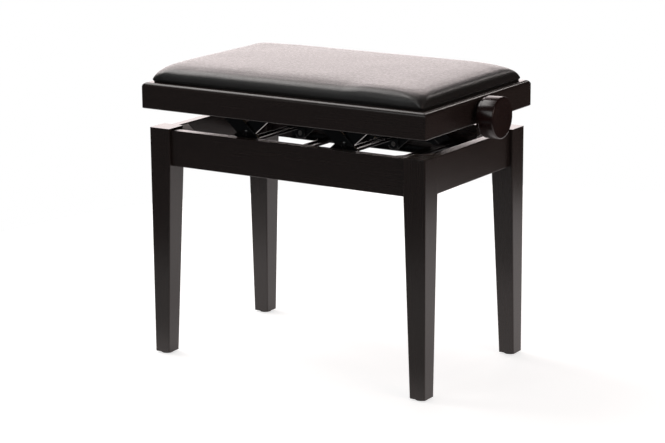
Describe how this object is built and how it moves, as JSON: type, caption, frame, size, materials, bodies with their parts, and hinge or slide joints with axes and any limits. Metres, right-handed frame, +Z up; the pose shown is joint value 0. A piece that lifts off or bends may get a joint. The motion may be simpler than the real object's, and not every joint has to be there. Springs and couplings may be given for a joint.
{
  "type": "piano stool",
  "caption": "Height-adjustable piano stool: padded seat in a black wooden frame, raised by scissor arms on a screw turned by a round side knob, on tapered legs",
  "frame": {"origin": "on the floor under the middle of the overall box at the pictured height; the seat's own middle is at x = -0.021 m, because the knob stands out on +X", "axes": "+X along the seat towards the height knob, +Y to the back of the stool, +Z up"},
  "size_m": [0.602, 0.355, 0.512],
  "materials": {
    "black_lacquered_wood": "black satin lacquer with a faint grain and a brown undertone",
    "plain_wood": "planed softwood, stained dark",
    "plywood": "plain plywood",
    "black_vinyl": "black leather-look vinyl with a fine grain",
    "glide_plastic": "dull black plastic",
    "knob_plastic": "turned dark brown-black knob, satin",
    "zinc_screws": "zinc-plated",
    "bright_steel": "plain steel, lightly oiled",
    "black_enamelled_steel": "glossy black enamel"
  },
  "bodies": {
    "base": {"leg_front_left": "black_lacquered_wood", "leg_front_right": "black_lacquered_wood", "leg_back_left": "black_lacquered_wood", "leg_back_right": "black_lacquered_wood", "apron_front": "black_lacquered_wood", "apron_back": "black_lacquered_wood", "apron_left": "black_lacquered_wood", "apron_right": "black_lacquered_wood", "foot_glides": "glide_plastic", "corner_blocks": "plain_wood", "leg_bolts": "zinc_screws", "lower_rail_front": "black_enamelled_steel", "lower_rail_back": "black_enamelled_steel", "lower_rail_screws": "zinc_screws", "lower_fixed_channel_right": "black_enamelled_steel", "lower_fixed_channel_left": "black_enamelled_steel", "lower_fixed_pins": "bright_steel"},
    "outer_arms_right": {"outer_arm_right_front": "black_enamelled_steel", "outer_arm_right_back": "black_enamelled_steel", "centre_rivets_right": "black_enamelled_steel"},
    "inner_arms_right": {"inner_arm_right_front": "black_enamelled_steel", "inner_arm_right_back": "black_enamelled_steel"},
    "outer_arms_left": {"outer_arm_left_front": "black_enamelled_steel", "outer_arm_left_back": "black_enamelled_steel", "centre_rivets_left": "black_enamelled_steel"},
    "inner_arms_left": {"inner_arm_left_front": "black_enamelled_steel", "inner_arm_left_back": "black_enamelled_steel"},
    "seat": {"seat_rail_front": "black_lacquered_wood", "seat_rail_back": "black_lacquered_wood", "seat_rail_left": "black_lacquered_wood", "seat_rail_right": "black_lacquered_wood", "seat_board": "plywood", "cushion": "black_vinyl", "upper_rail_front": "black_enamelled_steel", "upper_rail_back": "black_enamelled_steel", "board_screws": "zinc_screws", "upper_fixed_bar_right": "black_enamelled_steel", "upper_fixed_bar_left": "black_enamelled_steel", "upper_fixed_pins": "bright_steel", "spindle_bracket": "black_enamelled_steel", "bracket_screws": "zinc_screws"},
    "upper_carriage": {"upper_sliding_bar_right": "black_enamelled_steel", "upper_sliding_bar_left": "black_enamelled_steel", "upper_slide_pins": "bright_steel", "tie_bars": "black_enamelled_steel", "tie_bar_rivets": "bright_steel", "spindle_nut": "bright_steel"},
    "lower_slide_right": {"lower_sliding_channel_right": "black_enamelled_steel", "lower_slide_pins_right": "bright_steel"},
    "lower_slide_left": {"lower_sliding_channel_left": "black_enamelled_steel", "lower_slide_pins_left": "bright_steel"},
    "spindle": {"spindle": "bright_steel", "thrust_collars": "bright_steel", "backing_disc": "knob_plastic", "knob": "knob_plastic"}
  },
  "joints": [
    {"name": "seat_lift", "type": "hinge", "parent": "base", "child": "outer_arms_left", "pos_m": [-0.06148, 0, 0.355], "axis": [0, 1, 0], "range_deg": [-12.8, 29]},
    {"name": "left_cross", "type": "hinge", "parent": "outer_arms_left", "child": "inner_arms_left", "pos_m": [-0.119, 0, 0.405], "axis": [0, 1, 0], "range_deg": [-58.05, 25.65]},
    {"name": "seat_pivot", "type": "hinge", "parent": "inner_arms_left", "child": "seat", "pos_m": [-0.06148, 0, 0.455], "axis": [0, 1, 0], "range_deg": [-12.85, 29.05]},
    {"name": "left_foot_slide", "type": "hinge", "parent": "inner_arms_left", "child": "lower_slide_left", "pos_m": [-0.17652, 0, 0.355], "axis": [0, 1, 0], "range_deg": [-12.85, 29.05]},
    {"name": "right_lift", "type": "hinge", "parent": "base", "child": "outer_arms_right", "pos_m": [0.13452, 0, 0.355], "axis": [0, 1, 0], "range_deg": [-12.85, 29.05]},
    {"name": "right_cross", "type": "hinge", "parent": "outer_arms_right", "child": "inner_arms_right", "pos_m": [0.077, 0, 0.405], "axis": [0, 1, 0], "range_deg": [-58.05, 25.65]},
    {"name": "right_foot_slide", "type": "hinge", "parent": "inner_arms_right", "child": "lower_slide_right", "pos_m": [0.01948, 0, 0.355], "axis": [0, 1, 0], "range_deg": [-12.85, 29.05]},
    {"name": "upper_carriage_pivot", "type": "hinge", "parent": "outer_arms_right", "child": "upper_carriage", "pos_m": [0.01948, 0, 0.455], "axis": [0, 1, 0], "range_deg": [-29.05, 12.85]},
    {"name": "height_knob", "type": "hinge", "parent": "seat", "child": "spindle", "pos_m": [-0.021, 0, 0.449], "axis": [-1, 0, 0], "range_deg": [-1516.3, 3427.7]}
  ],
  "couplings": [
    {"joint": "left_cross", "follows": "seat_lift", "ratio": -2},
    {"joint": "seat_pivot", "follows": "seat_lift", "ratio": 1},
    {"joint": "left_foot_slide", "follows": "seat_lift", "ratio": 1},
    {"joint": "right_lift", "follows": "seat_lift", "ratio": 1},
    {"joint": "right_cross", "follows": "seat_lift", "ratio": -2},
    {"joint": "right_foot_slide", "follows": "seat_lift", "ratio": 1},
    {"joint": "upper_carriage_pivot", "follows": "seat_lift", "ratio": -1},
    {"joint": "height_knob", "follows": "seat_lift", "ratio": 117.99}
  ]
}
